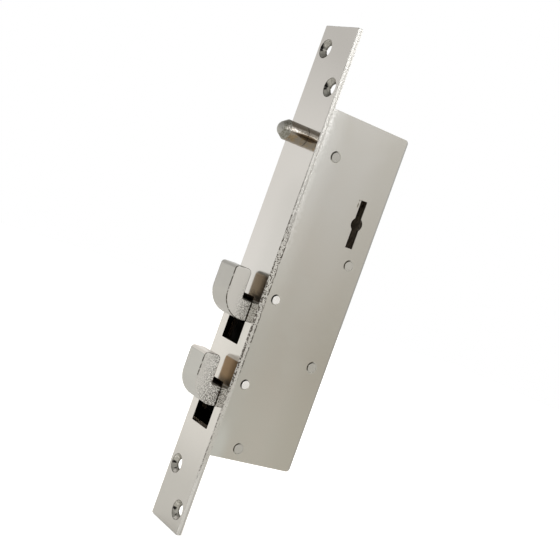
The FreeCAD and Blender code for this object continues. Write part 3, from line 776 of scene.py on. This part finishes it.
ringed = nicked
for name, ring_radius, darkness in (
    ("post_top_front", 0.00280, (0.020, 0.016, 0.012)),
    ("post_rear_upper", 0.00280, (0.09, 0.08, 0.062)),
    ("post_rear_lower", 0.00280, (0.09, 0.08, 0.062)),
    ("post_bottom", 0.00270, (0.05, 0.043, 0.032)),
    ("upper_pivot_pin", 0.00240, (0.012, 0.010, 0.008)),
    ("lower_pivot_pin", 0.00240, (0.02, 0.017, 0.014)),
):
    reach, towards_plate = round_end(tree, place, name)
    in_ring = ramp(tree, reach, ring_radius + 0.00050, ring_radius + 0.00038)
    shadow_side = ramp(tree, towards_plate, 0.0006, 0.0022)
    lit_ring = blend(tree, in_ring, ringed, (0.56, 0.55, 0.50))
    ringed = blend(tree, times(tree, in_ring, shadow_side), lit_ring, darkness)
rear_edge = times(tree, ramp(tree, y, case_high[1] - 0.0013, case_high[1] - 0.0001), 0.55)
edged = blend(tree, rear_edge, ringed, (0.30, 0.31, 0.315))

# The inside is painted dark as shade: near black below, and a brown film near the
# keyhole that is darker in the cut of the keyhole. The film isn't metallic.
depth = combine(tree, "ABSOLUTE", x)
inside = times(
    tree,
    ramp(tree, depth, cover_face - 0.00015, cover_face - 0.00035),
    ramp(tree, y, case_high[1] - 0.0007, case_high[1] - 0.0011),
    ramp(tree, z, case_high[2] - 0.0005, case_high[2] - 0.0009),
    ramp(tree, z, case_low[2] + 0.0005, case_low[2] + 0.0009),
)
near_key = ramp(tree, z, -0.040, -0.022)
film = blend(tree, ramp(tree, smears, 0.42, 0.58), (0.30, 0.25, 0.185), (0.46, 0.38, 0.29))
in_cut = ramp(tree, depth, cover_face - 0.0017, cover_face - 0.0015)
keyway_film = blend(tree, in_cut, film, (0.07, 0.058, 0.042))
shade_paint = blend(tree, near_key, (0.05, 0.038, 0.026), keyway_film)
shade_painted = blend(tree, inside, edged, shade_paint)
metallic = ramp(tree, times(tree, inside, near_key), 0.0, 1.0, 1.0, 0.1)
tree.links.new(metallic, shader.inputs["Metallic"])
gloss = ramp(tree, grain.outputs["Cloud"], 0.35, 0.65, 0.20, 0.25)
finish(tree, shader, shade_painted, gloss, bumped(tree, grain.outputs["Height"], 0.04, 0.00002))
dress(["case_body", "case_cover"], case_nickel, rim=0.0002)

# Spacer posts: turned steel, riveted in both sides of the case and plated with it,
# so their ends have the colour of the sheet.


def dark_rims(tree, place, metal, names, radius, darkness):
    """Colour of round ends with painted shade on their rims on the side of the face plate."""
    for name in names:
        reach, towards_plate = round_end(tree, place, name)
        on_rim = ramp(tree, reach, radius, radius + 0.00010)
        near_end = ramp(tree, reach, 2 * radius, 1.9 * radius)
        shadow_side = ramp(tree, towards_plate, 0.0004, 0.0018)
        metal = blend(tree, times(tree, on_rim, near_end, shadow_side), metal, darkness)
    return metal


posts = ["post_top_front", "post_rear_upper", "post_rear_lower", "post_bottom"]
post_steel, tree, shader, place, steel = turned_steel(
    "post_steel", "X", (0.51, 0.495, 0.45), (0.53, 0.52, 0.485), 0.25, 4000.0, 0.1)
# Painted shade: the end of the top post is painted darker than the others.
top_end_shade = blend(tree, ramp(tree, axes(tree, place)[2], 0.010, 0.020), steel, (0.43, 0.42, 0.39))
rimmed = dark_rims(tree, place, top_end_shade, posts, 0.00250, (0.06, 0.052, 0.04))
tree.links.new(rimmed, shader.inputs["Base Color"])
dress(posts, post_steel)

# Pins and studs: ground bright steel. The pivot pins of the hooks stand a little
# proud of both sides. The crank studs are pressed in the hooks, the stump in the
# drive bar.
pivot_pins = ["upper_pivot_pin", "lower_pivot_pin"]
pin_steel, tree, shader, place, steel = turned_steel(
    "pin_steel", "X", (0.93, 0.92, 0.90), (0.97, 0.965, 0.95), 0.20, 4000.0, 0.1)
rimmed = dark_rims(tree, place, steel, pivot_pins, 0.00215, (0.02, 0.016, 0.012))
tree.links.new(rimmed, shader.inputs["Base Color"])
dress(pivot_pins, pin_steel)
stud_steel = turned_steel("stud_steel", "X", (0.60, 0.58, 0.54), (0.68, 0.66, 0.62), 0.22, 4000.0, 0.1)[0]
dress(["upper_crank_stud", "lower_crank_stud", "drive_stump", "lever_post"], stud_steel)

# Hooks: solid steel castings, blasted and nickel plated. The grain is smooth on the
# nose and coarse at the root, and coarser on the lower hook. Their rims carry painted
# shade, and heat has browned the inner face of each.
hook_nickel, tree, shader, place = new_metal("hook_steel")
x, y, z = axes(tree, place)
upper_low, upper_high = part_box("upper_hook")
hook_half = upper_high[0]
hook_front = upper_low[1]
upper_top = upper_high[2]
lower_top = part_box("lower_hook")[1][2]
grain = use_group(tree, pitted_grain, place, Pit_Scale=1900.0, Fine_Scale=3000.0)
rim_mask = use_group(tree, edge_rims, place, Radius=0.0006, Break_Up=1300.0).outputs["Mask"]
skin = noise(tree, place, 5200.0, 4.0, 0.6)
rim_gaps = noise(tree, place, 750.0, 3.0, 0.7)
speckle = noise(tree, place, 2150.0, 1.0)
side = combine(tree, "ABSOLUTE", x)
on_flank = ramp(tree, side, hook_half - 0.0004, hook_half - 0.0001)
off_flank = ramp(tree, on_flank, 1.0, 0.0)
on_lower = ramp(tree, z, upper_low[2], lower_top)
on_upper = ramp(tree, on_lower, 1.0, 0.0)

# The coarse grain at the roots: dark pits and bright sparks in the cast skin.
upper_root = times(
    tree,
    ramp(tree, y, hook_front + 0.0052, hook_front + 0.0132),
    ramp(tree, z, upper_top - 0.0005, upper_top - 0.0165),
)
lower_root = ramp(tree, y, hook_front - 0.0018, hook_front + 0.0132)
root_of = add_node(tree, "ShaderNodeMix")
join(
    tree,
    (on_lower, root_of.inputs["Factor"]),
    (upper_root, root_of.inputs["A"]),
    (lower_root, root_of.inputs["B"]),
)
root = root_of.outputs["Result"]
flat_side = ramp(tree, side, hook_half - 0.0004, hook_half - 0.0001, 0.25, 1.0)
coarse = times(tree, root, ramp(tree, on_lower, 0.0, 1.0, 0.70, 1.0), flat_side)
# Painted light: the flanks are painted lighter than the noses.
lit_flank = blend(tree, skin, (0.61, 0.595, 0.56), (0.70, 0.685, 0.65))
upper_nose = blend(tree, skin, (0.46, 0.45, 0.42), (0.54, 0.53, 0.50))
lower_nose = blend(tree, skin, (0.51, 0.505, 0.475), (0.58, 0.575, 0.545))
cast = blend(tree, on_flank, blend(tree, on_lower, upper_nose, lower_nose), lit_flank)
sparks = times(tree, ramp(tree, speckle, 0.52, 0.56), coarse)
sparkling = blend(tree, sparks, cast, (0.95, 0.94, 0.91))
pits = times(tree, ramp(tree, speckle, 0.49, 0.445), coarse)
pitted = blend(tree, pits, sparkling, (0.045, 0.036, 0.026))

# Painted shade on the rims, with gaps and left off at the lower beak, and painted shade at the plate.
rim_left = ramp(tree, rim_gaps, 0.38, 0.48)
above_beak = ramp(tree, ramp(tree, z, lower_top - 0.0115, lower_top - 0.0135), 1.0, 0.0)
edge_shade = times(tree, rim_mask, on_flank, rim_left, above_beak, 0.85)
edge_shaded = blend(tree, edge_shade, pitted, (0.07, 0.058, 0.043))
rim_outer = ramp(tree, side, hook_half - 0.00002, hook_half - 0.00008)
rim_inner = ramp(tree, side, hook_half - 0.00070, hook_half - 0.00050)
rim = times(tree, rim_outer, rim_inner, rim_left, above_beak)
rimmed = blend(tree, rim, edge_shaded, (0.055, 0.046, 0.034))
plate_line = ramp(tree, y, plate_front - 0.00055, plate_front - 0.00035)
plate_shaded = blend(tree, plate_line, rimmed, (0.045, 0.034, 0.024))

# Painted light: the top of the lower hook is painted as a highlight, that of the upper one painted dark at
# its back as shade.
facing = axes(tree, add_node(tree, "ShaderNodeTexCoord").outputs["Normal"])
looks_up = ramp(tree, facing[2], 0.15, 0.40)
lower_crown = ramp(tree, z, lower_top - 0.0045, lower_top - 0.0035)
lit_top = times(tree, looks_up, on_lower, lower_crown, off_flank)
topped = blend(tree, lit_top, plate_shaded, (0.90, 0.86, 0.80))
upper_back = times(
    tree,
    ramp(tree, y, hook_front + 0.0060, hook_front + 0.0072),
    ramp(tree, z, upper_top - 0.0025, upper_top - 0.0015),
)
shaded_top = blend(tree, times(tree, looks_up, upper_back, off_flank), topped, (0.19, 0.178, 0.145))

# The inner face of the upper hook is brown, that of the lower one is tan, and both
# carry painted shade on their far side and deep in the mouth.
inner_face = ramp(tree, y, hook_front + 0.0092, hook_front + 0.0095)
upper_mouth = ramp(tree, z, upper_top - 0.0153, upper_top - 0.0149)
lower_mouth = ramp(tree, z, lower_top - 0.0153, lower_top - 0.0149)
far_side = ramp(tree, x, 0.0046, -0.0015)
lit_brown = blend(tree, far_side, (0.085, 0.060, 0.038), (0.36, 0.285, 0.205))
deep_in_upper = ramp(tree, z, upper_top - 0.0085, upper_top - 0.0140)
darker_brown = times(tree, deep_in_upper, ramp(tree, rim_gaps, 0.58, 0.48))
brown = blend(tree, darker_brown, lit_brown, (0.045, 0.032, 0.020))
browned = blend(tree, times(tree, inner_face, upper_mouth, on_upper), shaded_top, brown)
lit_tan = blend(tree, far_side, (0.33, 0.225, 0.125), (0.56, 0.40, 0.25))
deep_in_lower = ramp(tree, z, lower_top - 0.0100, lower_top - 0.0140)
tan = blend(tree, times(tree, deep_in_lower, 0.7), lit_tan, (0.12, 0.095, 0.065))
tanned = blend(tree, times(tree, inner_face, lower_mouth, on_lower), browned, tan)
dull = ramp(tree, root, 0.0, 1.0, 0.36, 0.46)
normal = bumped(tree, times(tree, grain.outputs["Height"], coarse), 0.8, 0.00024)
normal = bumped(tree, skin, 0.35, 0.00006, normal)
finish(tree, shader, tanned, dull, normal)
dress(["upper_hook", "lower_hook"], hook_nickel)

# Drive bar: blanked from plate, deburred and left grey with a film of oil. It slides
# between the sides of the case, and old grease sticks to it where the key turns.
key_reach = 0.0130


def key_grease(tree, shader, place, metal):
    """Colour of a metal with a film of old grease where the key turns; the film isn't metallic."""
    reach = vector_step(tree, "LENGTH", vector_step(tree, "MULTIPLY", place, (0.0, 1.0, 1.0)))
    film = ramp(tree, reach, key_reach + 0.0020, key_reach)
    tree.links.new(ramp(tree, film, 0.0, 1.0, 1.0, 0.2), shader.inputs["Metallic"])
    return blend(tree, film, metal, (0.20, 0.165, 0.125))


bar_steel, tree, shader, place = new_metal("bar_steel")
grain = use_group(tree, rolled_grain, place, Line_Scale=3500.0, Cloud_Scale=60.0)
rim_mask = use_group(tree, edge_rims, place, Radius=0.0004, Break_Up=1200.0).outputs["Mask"]
mill = blend(tree, grain.outputs["Cloud"], (0.15, 0.14, 0.125), (0.22, 0.21, 0.19))
filmed = key_grease(tree, shader, place, blend(tree, rim_mask, mill, (0.34, 0.33, 0.31)))
dull = ramp(tree, grain.outputs["Cloud"], 0.35, 0.65, 0.32, 0.45)
finish(tree, shader, filmed, dull, bumped(tree, grain.outputs["Height"], 0.3, 0.00003))
dress(["drive_bar"], bar_steel)

# Levers: six thin blanked brass plates, a little tarnished, with bright rubbed edges.
# They swing side by side on the sleeve of the lever post.
lever_brass, tree, shader, place = new_metal("lever_brass")
grain = use_group(tree, rolled_grain, place, Line_Scale=5000.0, Cloud_Scale=90.0)
rim_mask = use_group(tree, edge_rims, place, Radius=0.0003, Break_Up=1500.0).outputs["Mask"]
brass = blend(tree, grain.outputs["Cloud"], (0.56, 0.40, 0.15), (0.70, 0.54, 0.25))
filmed = key_grease(tree, shader, place, blend(tree, rim_mask, brass, (0.86, 0.70, 0.38)))
dull = ramp(tree, grain.outputs["Cloud"], 0.35, 0.65, 0.26, 0.40)
finish(tree, shader, filmed, dull, bumped(tree, grain.outputs["Height"], 0.2, 0.00002))
dress(["lever_1", "lever_2", "lever_3", "lever_4", "lever_5", "lever_6"], lever_brass)

# Spring comb: blued spring strip with one bent finger for each lever, held to the
# front flange at its foot.
spring_steel, tree, shader, place = new_metal("spring_steel")
grain = use_group(tree, rolled_grain, place, Line_Scale=6000.0, Cloud_Scale=120.0)
rim_mask = use_group(tree, edge_rims, place, Radius=0.0002, Break_Up=2000.0).outputs["Mask"]
blued = blend(tree, grain.outputs["Cloud"], (0.10, 0.11, 0.15), (0.17, 0.17, 0.20))
rim_toned = blend(tree, rim_mask, blued, (0.42, 0.42, 0.43))
finish(tree, shader, rim_toned, ramp(tree, grain.outputs["Cloud"], 0.35, 0.65, 0.25, 0.35))
comb = bpy.data.objects.new("spring_comb", nodes["lever_spring_comb"].data.copy())
bpy.context.scene.collection.objects.link(comb)
comb.data.materials.clear()
comb.data.materials.append(spring_steel)
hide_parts("lever_spring_comb")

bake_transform(comb)
